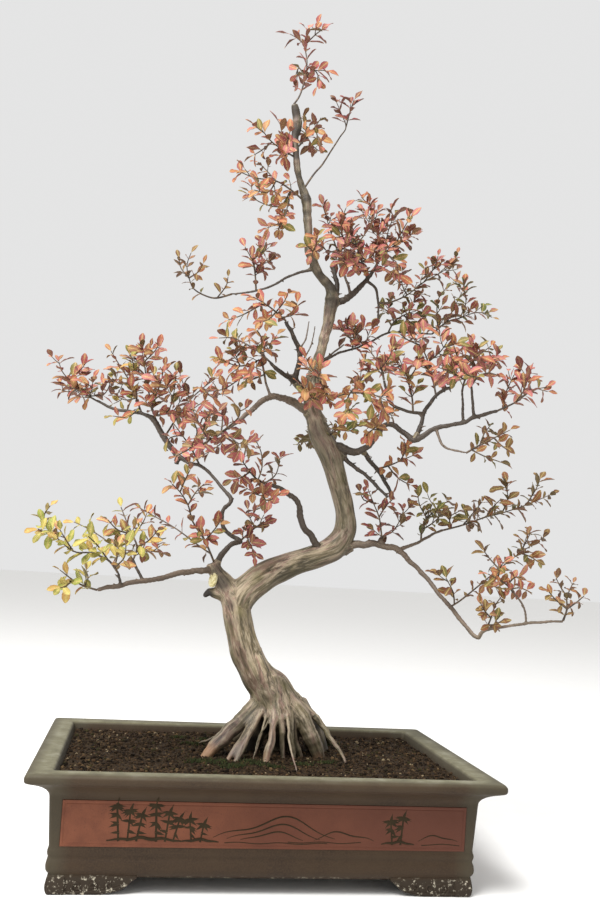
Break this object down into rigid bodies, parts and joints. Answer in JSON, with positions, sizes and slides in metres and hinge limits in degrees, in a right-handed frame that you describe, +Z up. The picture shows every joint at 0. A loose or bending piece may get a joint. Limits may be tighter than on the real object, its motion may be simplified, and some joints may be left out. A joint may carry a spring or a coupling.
{
  "type": "bonsai tree",
  "caption": "Crepe myrtle bonsai with a bent trunk, bare flaring roots and autumn leaves, in a rectangular footed clay pot.",
  "frame": {"origin": "centre of the whole object's box, at the level of the pot's feet", "axes": "+Z up along the tree, the pot's long front face towards -Y, +X to the right of that front"},
  "size_m": [0.7154, 0.35, 1.0605],
  "materials": {
    "brown_stoneware": "satin",
    "red_clay": "matte",
    "screen_plastic": "matte",
    "gravel": "matte",
    "soil": "matte",
    "bark": "matte",
    "leaf_rose": "satin",
    "leaf_wine": "satin",
    "leaf_amber": "satin",
    "leaf_bronze": "satin",
    "leaf_olive": "satin",
    "leaf_lime": "satin"
  },
  "bodies": {
    "root": {"drain_screen_1": "screen_plastic", "drain_screen_2": "screen_plastic", "drainage_gravel": "gravel", "panel_back": "red_clay", "panel_front": "red_clay", "panel_left": "red_clay", "panel_right": "red_clay", "pot_body": "brown_stoneware", "soil": "soil", "spray_amber_front": "leaf_amber", "spray_apex": "leaf_rose", "spray_apex_right": "leaf_wine", "spray_arch_tip": "leaf_wine", "spray_arch_up": "leaf_amber", "spray_back_faint": "leaf_olive", "spray_brown_shoot": "leaf_bronze", "spray_crown_left": "leaf_rose", "spray_crown_right": "leaf_amber", "spray_green_end": "leaf_olive", "spray_inner_left": "leaf_wine", "spray_inner_red": "leaf_rose", "spray_knob_fan": "leaf_wine", "spray_left_high": "leaf_amber", "spray_left_orange": "leaf_amber", "spray_left_tip": "leaf_bronze", "spray_left_up": "leaf_rose", "spray_left_yellow": "leaf_amber", "spray_lime_far": "leaf_lime", "spray_lime_low": "leaf_lime", "spray_lime_middle": "leaf_lime", "spray_low_amber": "leaf_amber", "spray_low_curve": "leaf_bronze", "spray_low_end": "leaf_bronze", "spray_low_green": "leaf_olive", "spray_low_olive": "leaf_bronze", "spray_low_orange": "leaf_amber", "spray_low_upper_shoot": "leaf_bronze", "spray_middle_orange": "leaf_amber", "spray_old_stub_top": "leaf_amber", "spray_olive_middle": "leaf_olive", "spray_pink_far_left": "leaf_rose", "spray_pink_fork": "leaf_rose", "spray_pink_inner": "leaf_rose", "spray_pink_left": "leaf_rose", "spray_pink_middle": "leaf_rose", "spray_purple": "leaf_wine", "spray_red_crest": "leaf_rose", "spray_red_left": "leaf_amber", "spray_red_right": "leaf_rose", "spray_right_high_back": "leaf_rose", "spray_right_high_front": "leaf_rose", "spray_right_high_tip": "leaf_rose", "spray_right_shoot": "leaf_bronze", "spray_rose_back": "leaf_amber", "spray_rose_right": "leaf_rose", "spray_rose_upright": "leaf_rose", "spray_rose_upright_two": "leaf_rose", "spray_sparse_olive": "leaf_olive", "spray_trunk_front": "leaf_amber", "tree_wood": "bark"}
  },
  "joints": []
}
